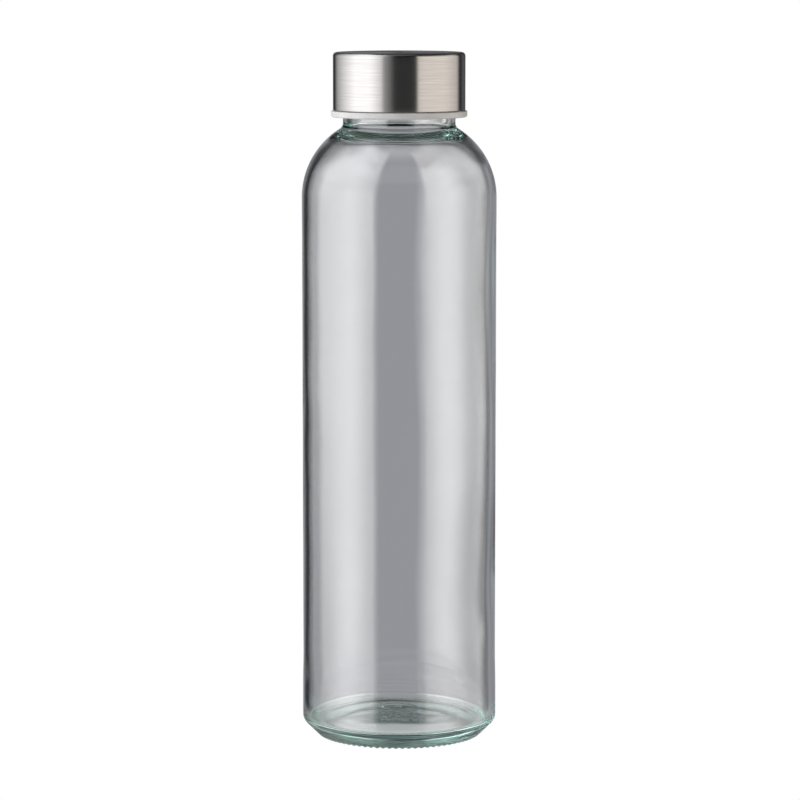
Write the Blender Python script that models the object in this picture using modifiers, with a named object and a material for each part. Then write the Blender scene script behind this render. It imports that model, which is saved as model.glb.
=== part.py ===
"""Glass water bottle with a screw lid, closed.

The bottle stands on the XY plane with its axis on +Z and its origin at the
centre of the foot. It comes apart into four pieces: the moulded glass body,
the threaded plastic liner of the lid, the brushed steel cup pressed over that
liner, and the sealing ring between the liner and the glass rim.
"""

import math

import bmesh
import bpy

# ---------------------------------------------------------------- dimensions
# Lengths in millimetres, radii from the bottle's axis. A name ending in _Z is
# a height above the foot.

MM = 0.001  # metres
SEGMENTS = 60  # facets round every turned piece
MERGE_DISTANCE = 0.01
SHARP_EDGE_DEGREES = 35.0

TOTAL_HEIGHT = 222.0

# Glass body, outside
HEEL_RADIUS = 31.5
PANEL_RADIUS = 31.2  # label panel, slightly recessed between heel and shoulder
SHOULDER_RADIUS = 31.38
HEEL_BAND_TOP_Z, PANEL_BOTTOM_Z = 15.0, 27.0
PANEL_TOP_Z, SHOULDER_BAND_BOTTOM_Z = 161.0, 172.0
SHOULDER_START_Z = 175.4
SHOULDER_ARC = 26.0
SHOULDER_CENTRE_RADIUS = SHOULDER_RADIUS - SHOULDER_ARC
NECK_RADIUS = 18.1
NECK_FILLET = 2.2
HEEL_FILLET = 3.0
HEEL_CONE_DEGREES = 45.0
HEEL_CORNER_Z = 5.1  # where the heel's cone would meet the heel's cylinder
FOOT_OUTER_RADIUS = HEEL_RADIUS - HEEL_CORNER_Z  # foot of the 45 degree cone
FOOT_INNER_RADIUS = 23.6
PUSH_UP_RADIUS, PUSH_UP_EDGE_Z, PUSH_UP_Z = 22.0, 1.5, 2.8
PUSH_UP_SHARES = (1.0, 0.72, 0.38, 0.0)  # profile points, as shares of its radius

# Glass body, inside
WALL = 2.35
INNER_RADIUS = PANEL_RADIUS - WALL
BORE_RADIUS = 14.6
BORE_FILLET = 5.0
FLOOR_Z, FLOOR_CROWN = 6.3, 1.1  # height at the floor's edge, rise to its middle
FLOOR_FILLET = 3.4
FLOOR_SHARES = (0.0, 0.45, 0.8)  # profile points, as shares of the floor's radius

# Glass finish, under the lid
RIM_Z = 218.0
RIM_OUTER_FILLET, RIM_INNER_FILLET = 0.9, 1.2
THREAD_ROOT_RADIUS = 17.5
NECK_BEAD_TOP_Z = 203.9

# Steel cup of the lid
STEEL_RADIUS = 21.27
STEEL_WALL = 0.5
STEEL_INNER_RADIUS = STEEL_RADIUS - STEEL_WALL
STEEL_INNER_TOP_Z = TOTAL_HEIGHT - STEEL_WALL
STEEL_BOTTOM_Z = 203.5
STEEL_CORNER = 1.2
STEEL_EDGE_CHAMFER = 0.15

# Plastic liner of the lid
LINER_FIT_GAP = 0.15  # liner to steel, all round
LINER_RADIUS = STEEL_INNER_RADIUS - LINER_FIT_GAP
LINER_TOP_Z = STEEL_INNER_TOP_Z - LINER_FIT_GAP
LINER_TOP_WALL = 1.5
LINER_CEILING_Z = LINER_TOP_Z - LINER_TOP_WALL
LINER_CORNER = STEEL_CORNER
LINER_INNER_RADIUS = 18.9
LINER_MOUTH_CHAMFER = 0.3
FLANGE_RADIUS = 21.9
FLANGE_TOP_Z, FLANGE_BOTTOM_Z = 203.3, 201.3
FLANGE_CHAMFER, FLANGE_FILLET = 0.25, 0.6
PLUG_OUTER_RADIUS, PLUG_INNER_RADIUS = 13.4, 12.2
PLUG_BOTTOM_Z = 216.6
PLUG_CHAMFER = 0.4

# Sealing ring, between the glass rim and the liner's ceiling, round the plug
GASKET_OUTER_RADIUS = 18.3
GASKET_INNER_RADIUS = PLUG_OUTER_RADIUS + 0.45
GASKET_BOTTOM_Z = RIM_Z + 0.1
GASKET_TOP_Z = LINER_CEILING_Z - 0.2
GASKET_EDGE_FILLET = 0.3

# Threads. A turn is counted from +X; the start height is the one at turn 0.
THREAD_PITCH = 25.4 / 6.0  # six threads to the inch
THREAD_SINK = 0.45  # how far a thread's root reaches into its wall
THREAD_TAPER_STEPS = SEGMENTS // 10
THREAD_END_SCALE = 0.35  # section size at both ends of a thread

GLASS_THREAD_HEIGHT = 1.1
GLASS_THREAD_START_Z, GLASS_THREAD_TURNS = 206.6, 1.5
GLASS_THREAD_ROOT_WIDTH, GLASS_THREAD_CREST_WIDTH = 2.2, 1.0

LINER_THREAD_DROP = 1.62  # below the glass thread, axis to axis, when closed
LINER_THREAD_FIRST_TURN, LINER_THREAD_LAST_TURN = 0.25, 1.45
LINER_THREAD_ROOT_WIDTH, LINER_THREAD_CREST_WIDTH = 1.6, 0.8
LINER_THREAD_CREST_RADIUS = 17.8

LID_EMPTY_SIZE = 30.0


# --------------------------------------------------------------------- scene
def clear_scene():
    for obj in list(bpy.data.objects):
        bpy.data.objects.remove(obj, do_unlink=True)
    for block in (bpy.data.meshes, bpy.data.curves, bpy.data.materials):
        for item in list(block):
            if item.users == 0:
                block.remove(item)


def make_collection(name):
    collection = bpy.data.collections.new(name)
    bpy.context.scene.collection.children.link(collection)
    return collection


def add_object(name, data, collection):
    obj = bpy.data.objects.new(name, data)
    collection.objects.link(obj)
    return obj


def evaluated_mesh(obj):
    """A new mesh of an object's evaluated shape."""
    graph = bpy.context.evaluated_depsgraph_get()
    graph.update()
    return bpy.data.meshes.new_from_object(obj.evaluated_get(graph))


# ----------------------------------------------------------------- materials
def make_material(name, colour, roughness, metallic=0.0, transmission=0.0, ior=1.5):
    material = bpy.data.materials.new(name)
    material.use_nodes = True
    shader = material.node_tree.nodes["Principled BSDF"]
    shader.inputs["Base Color"].default_value = (*colour, 1.0)
    shader.inputs["Roughness"].default_value = roughness
    shader.inputs["Metallic"].default_value = metallic
    shader.inputs["Transmission Weight"].default_value = transmission
    shader.inputs["IOR"].default_value = ior
    material.diffuse_color = (*colour, 1.0)
    return material


def glass_material():
    return make_material(
        "bottle_glass",
        colour=(0.80, 0.91, 0.88),
        roughness=0.02,
        transmission=1.0,
        ior=1.52,
    )


def steel_material():
    return make_material(
        "brushed_stainless", colour=(0.62, 0.60, 0.57), roughness=0.30, metallic=1.0
    )


def plastic_material():
    return make_material(
        "natural_plastic", colour=(0.80, 0.80, 0.79), roughness=0.42, transmission=0.25
    )


def silicone_material():
    return make_material(
        "clear_silicone", colour=(0.86, 0.86, 0.84), roughness=0.50, transmission=0.2
    )


# ------------------------------------------------------------- profile curves
# A profile is a list of (radius, z) points.
def arc(centre_radius, centre_z, radius, start_deg, end_deg, steps):
    """Points on a circle in the profile plane, both ends included."""
    points = []
    for step in range(steps + 1):
        angle = math.radians(start_deg + (end_deg - start_deg) * step / steps)
        points.append(
            (
                centre_radius + radius * math.cos(angle),
                centre_z + radius * math.sin(angle),
            )
        )
    return points


def ease_down(low_z, low_radius, high_z, high_radius, steps):
    """Smooth change of radius between two heights, ends included, going down."""
    points = []
    for step in range(steps, -1, -1):
        share = step / steps
        blend = share * share * (3.0 - 2.0 * share)
        points.append(
            (
                low_radius + (high_radius - low_radius) * blend,
                low_z + (high_z - low_z) * share,
            )
        )
    return points


def crown(edge_radius, edge_z, rise, shares):
    """Points on a shallow parabolic dome, at the given shares of its radius."""
    return [(edge_radius * share, edge_z + rise * (1.0 - share**2)) for share in shares]


def shoulder_join(neck_radius, fillet, arc_radius):
    """Height of the neck fillet's centre and the angle where it meets the shoulder arc."""
    reach = neck_radius + fillet - SHOULDER_CENTRE_RADIUS
    rise = math.sqrt((arc_radius + fillet) ** 2 - reach**2)
    return SHOULDER_START_Z + rise, math.degrees(math.atan2(rise, reach))


# ------------------------------------------------------------- turned pieces
def turned(name, profile, material, collection, closed=False):
    """A profile in the XZ plane turned round Z by a Screw modifier."""
    mesh = bpy.data.meshes.new(name)
    verts = [(radius * MM, 0.0, z * MM) for radius, z in profile]
    edges = [(i, i + 1) for i in range(len(verts) - 1)]
    if closed:
        edges.append((len(verts) - 1, 0))
    mesh.from_pydata(verts, edges, [])
    mesh.materials.append(material)
    obj = add_object(name, mesh, collection)
    screw = obj.modifiers.new("Turn", "SCREW")
    screw.axis = "Z"
    screw.angle = math.tau
    screw.steps = SEGMENTS
    screw.render_steps = SEGMENTS
    screw.use_merge_vertices = True
    screw.merge_threshold = MERGE_DISTANCE * MM
    screw.use_smooth_shade = True
    return obj


def bake(obj):
    """Turns the evaluated shape into the object's mesh, smooth with crisp edges."""
    mesh = evaluated_mesh(obj)
    mesh.name = obj.name
    obj.modifiers.clear()
    obj.data = mesh
    mesh.shade_smooth()
    mesh.set_sharp_from_angle(angle=math.radians(SHARP_EDGE_DEGREES))


# ------------------------------------------------------------------- threads
def thread_section(name, root_width, crest_width, height, inward, helpers):
    """Trapezium drawn as a closed flat curve. Its height runs along X."""
    side = -1.0 if inward else 1.0
    half_crest = crest_width / 2
    slope = (root_width / 2 - half_crest) / height
    half_sunk_root = root_width / 2 + slope * THREAD_SINK
    corners = [
        (-side * THREAD_SINK, -half_sunk_root),
        (side * height, -half_crest),
        (side * height, half_crest),
        (-side * THREAD_SINK, half_sunk_root),
    ]
    curve = bpy.data.curves.new(name, "CURVE")
    curve.dimensions = "2D"
    spline = curve.splines.new("POLY")
    spline.points.add(len(corners) - 1)
    for point, (x, y) in zip(spline.points, corners):
        point.co = (x * MM, y * MM, 0.0, 1.0)
    spline.use_cyclic_u = True
    return add_object(name, curve, helpers)


def thread_guide(name, section, radius, start_z, first_turn, last_turn, helpers):
    """Helix on the pitch line carrying the section, which shrinks at both ends."""
    curve = bpy.data.curves.new(name, "CURVE")
    curve.dimensions = "3D"
    curve.twist_mode = "Z_UP"
    curve.bevel_mode = "OBJECT"
    curve.bevel_object = section
    curve.use_fill_caps = True
    steps = round((last_turn - first_turn) * SEGMENTS)
    spline = curve.splines.new("POLY")
    spline.points.add(steps)
    for index, point in enumerate(spline.points):
        turn = first_turn + index / SEGMENTS
        angle = math.tau * turn
        point.co = (
            radius * math.cos(angle) * MM,
            radius * math.sin(angle) * MM,
            (start_z + THREAD_PITCH * turn) * MM,
            1.0,
        )
        run_out = min(1.0, min(index, steps - index) / THREAD_TAPER_STEPS)
        point.radius = THREAD_END_SCALE + (1.0 - THREAD_END_SCALE) * run_out
    return add_object(name + "_guide", curve, helpers)


def thread_ridge(name, section, guide, helpers):
    """The swept thread as a closed solid. Its section and guide are used up."""
    mesh = evaluated_mesh(guide)
    solid = bmesh.new()
    solid.from_mesh(mesh)
    # Weld the end caps to the sweep.
    bmesh.ops.remove_doubles(solid, verts=solid.verts, dist=MERGE_DISTANCE * MM)
    bmesh.ops.recalc_face_normals(solid, faces=solid.faces)
    solid.to_mesh(mesh)
    solid.free()
    for used in (guide, section):
        bpy.data.objects.remove(used, do_unlink=True)
    return add_object(name, mesh, helpers)


def bake_with_thread(obj, ridge):
    """Unites a piece with its thread, then drops the separate ridge."""
    union = obj.modifiers.new("Thread", "BOOLEAN")
    union.operation = "UNION"
    union.solver = "EXACT"
    union.object = ridge
    bake(obj)
    bpy.data.objects.remove(ridge, do_unlink=True)


# --------------------------------------------------------------- glass bottle
def glass_inside():
    """Inner surface, from the middle of the floor up to the bore."""
    corner_radius = INNER_RADIUS - FLOOR_FILLET
    points = crown(corner_radius, FLOOR_Z, FLOOR_CROWN, FLOOR_SHARES)
    points += arc(corner_radius, FLOOR_Z + FLOOR_FILLET, FLOOR_FILLET, -90.0, 0.0, steps=4)
    inner_arc = INNER_RADIUS - SHOULDER_CENTRE_RADIUS
    join_z, angle = shoulder_join(BORE_RADIUS, BORE_FILLET, inner_arc)
    points += arc(SHOULDER_CENTRE_RADIUS, SHOULDER_START_Z, inner_arc, 0.0, angle, steps=7)
    points += arc(
        BORE_RADIUS + BORE_FILLET, join_z, BORE_FILLET, 180.0 + angle, 180.0, steps=3
    )[1:]
    return points


def glass_rim():
    """Over the rim and down the thread root to the bead."""
    inner, outer = RIM_INNER_FILLET, RIM_OUTER_FILLET
    points = arc(BORE_RADIUS + inner, RIM_Z - inner, inner, 180.0, 90.0, steps=3)
    points += arc(THREAD_ROOT_RADIUS - outer, RIM_Z - outer, outer, 90.0, 0.0, steps=3)
    step_out = NECK_RADIUS - THREAD_ROOT_RADIUS
    points.append((THREAD_ROOT_RADIUS, NECK_BEAD_TOP_Z + step_out))
    points.append((NECK_RADIUS, NECK_BEAD_TOP_Z))
    return points


def glass_outside():
    """Outer surface from the neck fillet down to the foot."""
    join_z, angle = shoulder_join(NECK_RADIUS, NECK_FILLET, SHOULDER_ARC)
    points = arc(
        NECK_RADIUS + NECK_FILLET, join_z, NECK_FILLET, 180.0, 180.0 + angle, steps=3
    )
    points += arc(
        SHOULDER_CENTRE_RADIUS, SHOULDER_START_Z, SHOULDER_ARC, angle, 0.0, steps=9
    )[1:]
    points += ease_down(
        PANEL_TOP_Z, PANEL_RADIUS, SHOULDER_BAND_BOTTOM_Z, SHOULDER_RADIUS, steps=3
    )
    points += ease_down(HEEL_BAND_TOP_Z, HEEL_RADIUS, PANEL_BOTTOM_Z, PANEL_RADIUS, steps=3)
    # The fillet touches the cylinder this far above the corner it rounds off.
    tangent_length = HEEL_FILLET * math.tan(math.radians(HEEL_CONE_DEGREES / 2))
    points += arc(
        HEEL_RADIUS - HEEL_FILLET,
        HEEL_CORNER_Z + tangent_length,
        HEEL_FILLET,
        0.0,
        -HEEL_CONE_DEGREES,
        steps=3,
    )
    points.append((FOOT_OUTER_RADIUS, 0.0))
    return points


def glass_underside():
    """Foot ring and the push-up under the base, ending on the axis."""
    rise = PUSH_UP_Z - PUSH_UP_EDGE_Z
    push_up = crown(PUSH_UP_RADIUS, PUSH_UP_EDGE_Z, rise, PUSH_UP_SHARES)
    return [(FOOT_INNER_RADIUS, 0.0)] + push_up


def build_bottle(parts, helpers):
    profile = glass_inside() + glass_rim() + glass_outside() + glass_underside()
    bottle = turned("glass_bottle", profile, glass_material(), parts)
    section = thread_section(
        "glass_thread_section",
        root_width=GLASS_THREAD_ROOT_WIDTH,
        crest_width=GLASS_THREAD_CREST_WIDTH,
        height=GLASS_THREAD_HEIGHT,
        inward=False,
        helpers=helpers,
    )
    guide = thread_guide(
        "glass_thread",
        section,
        radius=THREAD_ROOT_RADIUS,
        start_z=GLASS_THREAD_START_Z,
        first_turn=0.0,
        last_turn=GLASS_THREAD_TURNS,
        helpers=helpers,
    )
    bake_with_thread(bottle, thread_ridge("glass_thread", section, guide, helpers))


# ------------------------------------------------------------------ steel cup
def steel_profile():
    """Cup wall: outer top centre, down outside, up inside to the axis."""
    inner_corner = STEEL_CORNER - STEEL_WALL
    return [
        (0.0, TOTAL_HEIGHT),
        *arc(
            STEEL_RADIUS - STEEL_CORNER,
            TOTAL_HEIGHT - STEEL_CORNER,
            STEEL_CORNER,
            90.0,
            0.0,
            steps=5,
        ),
        (STEEL_RADIUS, STEEL_BOTTOM_Z + STEEL_EDGE_CHAMFER),
        (STEEL_RADIUS - STEEL_EDGE_CHAMFER, STEEL_BOTTOM_Z),
        (STEEL_INNER_RADIUS, STEEL_BOTTOM_Z),
        *arc(
            STEEL_INNER_RADIUS - inner_corner,
            STEEL_INNER_TOP_Z - inner_corner,
            inner_corner,
            0.0,
            90.0,
            steps=4,
        ),
        (0.0, STEEL_INNER_TOP_Z),
    ]


def build_shell(parts):
    shell = turned("lid_steel_shell", steel_profile(), steel_material(), parts)
    bake(shell)
    return shell


# ---------------------------------------------------------------------- liner
def liner_profile():
    """Liner wall with its flange, top plate and the plug that centres the ring."""
    return [
        (0.0, LINER_TOP_Z),
        *arc(
            LINER_RADIUS - LINER_CORNER,
            LINER_TOP_Z - LINER_CORNER,
            LINER_CORNER,
            90.0,
            0.0,
            steps=3,
        ),
        (LINER_RADIUS, FLANGE_TOP_Z),
        (FLANGE_RADIUS - FLANGE_CHAMFER, FLANGE_TOP_Z),
        (FLANGE_RADIUS, FLANGE_TOP_Z - FLANGE_CHAMFER),
        *arc(
            FLANGE_RADIUS - FLANGE_FILLET,
            FLANGE_BOTTOM_Z + FLANGE_FILLET,
            FLANGE_FILLET,
            0.0,
            -90.0,
            steps=3,
        ),
        (LINER_INNER_RADIUS + LINER_MOUTH_CHAMFER, FLANGE_BOTTOM_Z),
        (LINER_INNER_RADIUS, FLANGE_BOTTOM_Z + LINER_MOUTH_CHAMFER),
        (LINER_INNER_RADIUS, LINER_CEILING_Z),
        (PLUG_OUTER_RADIUS, LINER_CEILING_Z),
        (PLUG_OUTER_RADIUS, PLUG_BOTTOM_Z + PLUG_CHAMFER),
        (PLUG_OUTER_RADIUS - PLUG_CHAMFER, PLUG_BOTTOM_Z),
        (PLUG_INNER_RADIUS, PLUG_BOTTOM_Z),
        (PLUG_INNER_RADIUS, LINER_CEILING_Z),
        (0.0, LINER_CEILING_Z),
    ]


def build_liner(parts, helpers):
    liner = turned("lid_liner", liner_profile(), plastic_material(), parts)
    section = thread_section(
        "liner_thread_section",
        root_width=LINER_THREAD_ROOT_WIDTH,
        crest_width=LINER_THREAD_CREST_WIDTH,
        height=LINER_INNER_RADIUS - LINER_THREAD_CREST_RADIUS,
        inward=True,
        helpers=helpers,
    )
    guide = thread_guide(
        "liner_thread",
        section,
        radius=LINER_INNER_RADIUS,
        start_z=GLASS_THREAD_START_Z - LINER_THREAD_DROP,
        first_turn=LINER_THREAD_FIRST_TURN,
        last_turn=LINER_THREAD_LAST_TURN,
        helpers=helpers,
    )
    bake_with_thread(liner, thread_ridge("liner_thread", section, guide, helpers))
    return liner


# --------------------------------------------------------------- sealing ring
def gasket_profile():
    """Ring section with eased edges, starting at its upper inner edge."""
    inner = GASKET_INNER_RADIUS + GASKET_EDGE_FILLET
    outer = GASKET_OUTER_RADIUS - GASKET_EDGE_FILLET
    top = GASKET_TOP_Z - GASKET_EDGE_FILLET
    bottom = GASKET_BOTTOM_Z + GASKET_EDGE_FILLET
    # Fillet centre (radius, z) and the angle its quarter arc starts from
    corners = (
        (inner, top, 180.0),
        (outer, top, 90.0),
        (outer, bottom, 0.0),
        (inner, bottom, -90.0),
    )
    points = []
    for radius, z, start in corners:
        points += arc(radius, z, GASKET_EDGE_FILLET, start, start - 90.0, steps=2)
    return points


def build_gasket(parts):
    gasket = turned(
        "lid_gasket", gasket_profile(), silicone_material(), parts, closed=True
    )
    bake(gasket)
    return gasket


# ------------------------------------------------------------------- assembly
def parent_to_lid_axis(pieces, parts):
    """The lid turns and lifts by an empty on the axis, at the glass rim's height."""
    lid = add_object("lid_axis", None, parts)
    lid.empty_display_size = LID_EMPTY_SIZE * MM
    lid.location = (0.0, 0.0, RIM_Z * MM)
    # matrix_world must be current before it is inverted.
    bpy.context.view_layer.update()
    for piece in pieces:
        piece.parent = lid
        piece.matrix_parent_inverse = lid.matrix_world.inverted()


def build():
    clear_scene()
    parts = make_collection("glass_water_bottle")
    helpers = make_collection("bottle_helpers")
    build_bottle(parts, helpers)
    lid_pieces = [build_shell(parts), build_liner(parts, helpers), build_gasket(parts)]
    parent_to_lid_axis(lid_pieces, parts)


build()
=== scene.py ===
"""Glass water bottle with a brushed steel screw lid: the visual model.

The bottle stands upright on z = 0 with its axis on Z and its front towards -Y.
Every piece is turned round that axis, takes its main sizes from the CAD part it
replaces, and rides on the CAD body it belongs to. Lengths are in millimetres
and become metres when a mesh is made; shader lengths are in metres.
"""

import math

import bpy
import numpy as np
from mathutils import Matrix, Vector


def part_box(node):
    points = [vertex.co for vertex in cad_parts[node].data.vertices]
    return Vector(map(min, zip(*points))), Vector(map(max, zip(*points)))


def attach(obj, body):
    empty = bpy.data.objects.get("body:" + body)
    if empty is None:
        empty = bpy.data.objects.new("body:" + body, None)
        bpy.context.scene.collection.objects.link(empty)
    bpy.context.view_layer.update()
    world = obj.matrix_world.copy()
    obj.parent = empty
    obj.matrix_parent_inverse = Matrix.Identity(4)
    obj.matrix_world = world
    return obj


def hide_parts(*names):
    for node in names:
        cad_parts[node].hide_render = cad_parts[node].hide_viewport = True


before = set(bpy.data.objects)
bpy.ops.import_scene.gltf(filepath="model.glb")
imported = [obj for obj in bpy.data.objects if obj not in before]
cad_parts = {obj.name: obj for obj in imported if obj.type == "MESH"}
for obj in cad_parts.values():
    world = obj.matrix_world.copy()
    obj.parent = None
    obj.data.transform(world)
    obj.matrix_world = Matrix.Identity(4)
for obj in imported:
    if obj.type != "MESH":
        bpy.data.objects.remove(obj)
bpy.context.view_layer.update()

MM = 0.001
TAU = 2.0 * math.pi


def mm_box(node):
    low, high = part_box(node)
    return np.array(low) / MM, np.array(high) / MM


GLASS_HIGH = mm_box("glass_bottle")[1]
STEEL_LOW, STEEL_HIGH = mm_box("lid_steel_shell")
LINER_LOW, LINER_HIGH = mm_box("lid_liner")
GASKET_LOW, GASKET_HIGH = mm_box("lid_gasket")

# ------------------------------------------------------- bottle dimensions
COARSE, FINE = 200, 400  # facets round the body, and round the foot and base

# outside: a panel between two slightly wider bands, then shoulder and neck
HEEL_R = GLASS_HIGH[0]
PANEL_R = HEEL_R - 0.18
SHOULDER_R = HEEL_R - 0.12
PANEL_BOTTOM, PANEL_TOP = 27.0, 161.0
HEEL_BAND_TOP, SHOULDER_BAND_BOTTOM = 15.0, 172.0
SHOULDER_START, SHOULDER_ARC = 175.4, 26.0
SHOULDER_FINE_ANGLE = 36.0  # degrees up the arc where the facets become finer
NECK_R, NECK_FILLET = 18.1, 2.2

# heel, foot ring and the push-up under the base
HEEL_FILLET, HEEL_CORNER_Z = 3.0, 5.1
FOOT_OUTER_R = HEEL_R - HEEL_CORNER_Z
FOOT_EDGE, FOOT_ROUND = 0.50, 0.60
FOOT_ROUND_R = FOOT_OUTER_R - 0.20  # where the foot's outer rounding is centred
FOOT_INNER_R = 24.0
KNURLS, KNURL_DEPTH = 80, 0.42
PUSH_R, PUSH_Z = 24.0, 2.8

# inside wall; its offsets from even thickness are in inner_offset
WALL = 2.42
WALL_INNER_R = PANEL_R - WALL
THIN_SIDE = 0.50  # how much thinner than WALL the glass runs on the -X side
# and how much thicker on the +X side: height, extra thickness
THICK_SIDE_Z, THICK_SIDE = zip(
    (15.0, 0.10), (32.0, 0.20), (42.0, 0.62), (52.0, 0.58), (80.0, -0.10), (104.0, -0.10),
    (118.0, 0.40), (140.0, 0.75), (158.0, 0.70), (176.0, 0.35), (186.0, -0.20),
)
FLOOR_Z, FLOOR_CROWN, FLOOR_FILLET = 6.0, 0.7, 0.7
FLOOR_DIP = 0.6  # how far the floor runs down towards the front
# inside, the shoulder runs parallel with the outside up to INNER_PART degrees,
# then turns in more and more tightly and leaves a thick collar under the neck
INNER_ARC, INNER_START, INNER_PART = 23.6, 175.2, 44.0
INNER_MID_ARC, INNER_TURN = 16.0, 52.0
COLLAR_ARC = 7.0
BORE_R, BORE_FILLET = 14.6, 2.0
FLARE_TOP, FLARE_SLOPE, FLARE_POWER = 203.5, -2.0, 1.4  # the bore narrows below this

# rim, thread and the small step below the thread
RIM_Z = GLASS_HIGH[2]
RIM_INNER_ROUND, RIM_OUTER_ROUND = 1.2, 0.9
THREAD_ROOT_R, THREAD_HEIGHT = 17.5, 1.1
THREAD_PITCH = 25.4 / 6.0
THREAD_Z0, THREAD_TURNS = 206.6, 1.5
BEAD_Z, BEAD_RISE = 203.9, 0.6

# mould marks under the base
MARK_HEIGHT = 0.30
MARK_X, MARK_Y = -0.3, 12.2
MARK_RING_R, MARK_DOT_R = 5.6, 0.9
MARK_DOT_STRETCH_X, MARK_DOT_STRETCH_Y = 1.4, 1.2
# three even rows of five alike, each (x, y, half width, half depth)
MARK_BARS = tuple(
    (x, y, half_x, half_y)
    for y, half_x, half_y in ((1.2, 0.55, 0.7), (-3.2, 0.2, 0.5), (-8.2, 0.6, 1.0))
    for x in (-4.9, -2.45, 0.0, 2.45, 4.9)
)
STIPPLE = 0.05  # height of the pebbling
STIPPLE_Y = 3.5  # its centre

# ---------------------------------------------------------- lid dimensions
STEEL_R = STEEL_HIGH[0]
STEEL_TOP, STEEL_BOTTOM = STEEL_HIGH[2], STEEL_LOW[2]
STEEL_WALL, STEEL_CORNER, STEEL_EDGE = 0.5, 1.2, 0.2

LINER_BOTTOM, LINER_TOP = LINER_LOW[2], LINER_HIGH[2]
LINER_UNDER = LINER_TOP - 1.5  # underside of the liner's top
LINER_OUT_R = STEEL_R - STEEL_WALL - 0.15
LINER_IN_R = 18.9
LINER_CORNER, LINER_INNER_CORNER = 1.2, 0.3
FLANGE_R, FLANGE_TOP = LINER_HIGH[0], LINER_BOTTOM + 2.0
FLANGE_TOP_ROUND, FLANGE_FOOT_ROUND, MOUTH_ROUND = 0.3, 0.6, 0.4
LINER_THREAD_Z0, LINER_THREAD_HEIGHT = THREAD_Z0 - 1.62, 1.1
# a ring that hangs from the liner's underside
SKIRT_OUT_R, SKIRT_IN_R, SKIRT_END_Z = 13.4, 12.2, 217.0
SKIRT_CHAMFER = 0.2

GASKET_IN_R, GASKET_ROUND = 13.85, 0.35


# ---------------------------------------------------------------- profiles
def arc(centre_r, centre_z, radius, start, end, steps, joined=False):
    """Points along an arc, in degrees; joined leaves out the first."""
    angle = np.radians(np.linspace(start, end, steps + 1))
    points = np.stack(
        [centre_r + radius * np.cos(angle), centre_z + radius * np.sin(angle)], 1
    )
    return points[1:] if joined else points


def line(start, end, step, joined=True):
    """Points along a line, no further apart than step; joined leaves out the first."""
    start, end = np.array(start, float), np.array(end, float)
    count = max(1, int(math.ceil(np.linalg.norm(end - start) / step)))
    share = np.linspace(0, 1, count + 1)[:, None]
    points = start + (end - start) * share
    return points[1:] if joined else points


def to_rings(*runs, segments, zone="plain"):
    """Rings (radius, z, zone, segments) from runs of profile points."""
    return [(float(radius), float(z), zone, segments) for run in runs for radius, z in run]


def smoothstep(value, start, end):
    share = np.clip((value - start) / (end - start), 0.0, 1.0)
    return share * share * (3.0 - 2.0 * share)


# ------------------------------------------------------------ turned meshes
def add_object(name, data):
    obj = bpy.data.objects.new(name, data)
    bpy.context.scene.collection.objects.link(obj)
    return obj


def bridge(start_a, count_a, start_b, count_b):
    """Faces between neighbouring rings, given their first vertices and counts."""
    count = min(count_a, count_b)
    if 1 in (count_a, count_b):
        count = max(count_a, count_b)
    j = np.arange(count)
    k = (j + 1) % count
    if count_a == count_b:
        return np.stack([start_b + j, start_b + k, start_a + k, start_a + j], 1).tolist()
    if count_a == 1:
        return np.stack([start_b + j, start_b + k, np.full(count, start_a)], 1).tolist()
    if count_b == 1:
        return np.stack([np.full(count, start_b), start_a + k, start_a + j], 1).tolist()
    if max(count_a, count_b) != 2 * count:
        raise ValueError("neighbouring rings must match or differ by a factor of two")
    faces = []
    for j in range(count):
        k = (j + 1) % count
        if count_b > count_a:
            near, far = start_a + j, start_a + k
            first, middle = start_b + 2 * j, start_b + 2 * j + 1
            last = start_b + (2 * j + 2) % count_b
            faces += [[first, middle, near], [middle, far, near], [middle, last, far]]
        else:
            near, far = start_b + j, start_b + k
            first, middle = start_a + 2 * j, start_a + 2 * j + 1
            last = start_a + (2 * j + 2) % count_a
            faces += [[middle, first, near], [far, middle, near], [last, middle, far]]
    return faces


def turned_mesh(name, rings, sharp_angle, shapes=None, closed=False):
    """A turned mesh from rings. shapes maps a zone to a function of (radius, z,
    theta) that gives the ring's true radii and heights, so that threads, knurls
    and marks are real geometry. A ring of no radius becomes a single point."""
    shapes = shapes or {}
    verts, spans, total = [], [], 0
    for radius, z, zone, segments in rings:
        count = 1 if radius < 1e-6 else segments
        theta = np.arange(count) * (TAU / count)
        radii, heights = shapes[zone](radius, z, theta) if zone in shapes else (radius, z)
        verts.append(
            np.stack([radii * np.cos(theta), radii * np.sin(theta), heights + 0.0 * theta], 1)
        )
        spans.append((total, count))
        total += count
    pairs = list(zip(spans, spans[1:]))
    if closed:
        pairs.append((spans[-1], spans[0]))
    faces = [face for a, b in pairs for face in bridge(*a, *b)]
    mesh = bpy.data.meshes.new(name)
    mesh.from_pydata((np.concatenate(verts) * MM).tolist(), [], faces)
    mesh.validate()
    mesh.update()
    mesh.shade_smooth()
    mesh.set_sharp_from_angle(angle=math.radians(sharp_angle))
    return add_object(name, mesh)


def helix_ridge(theta, z, z0, first, last, half_root, half_crest, taper):
    """0..1 height of a screw thread at (theta, z), running out at both ends.
    first, last and taper are in turns."""
    phase = (theta % TAU) / TAU
    best = np.zeros(theta.shape)
    for k in range(int(math.floor(first)) - 1, int(math.ceil(last)) + 1):
        turn = phase + k
        distance = np.abs(z - (z0 + THREAD_PITCH * turn))
        ridge = np.clip((half_root - distance) / (half_root - half_crest), 0.0, 1.0)
        ridge = ridge * ridge * (3.0 - 2.0 * ridge)
        run = smoothstep(turn, first, first + taper) * (
            1.0 - smoothstep(turn, last - taper, last)
        )
        best = np.maximum(best, ridge * run)
    return best


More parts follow.
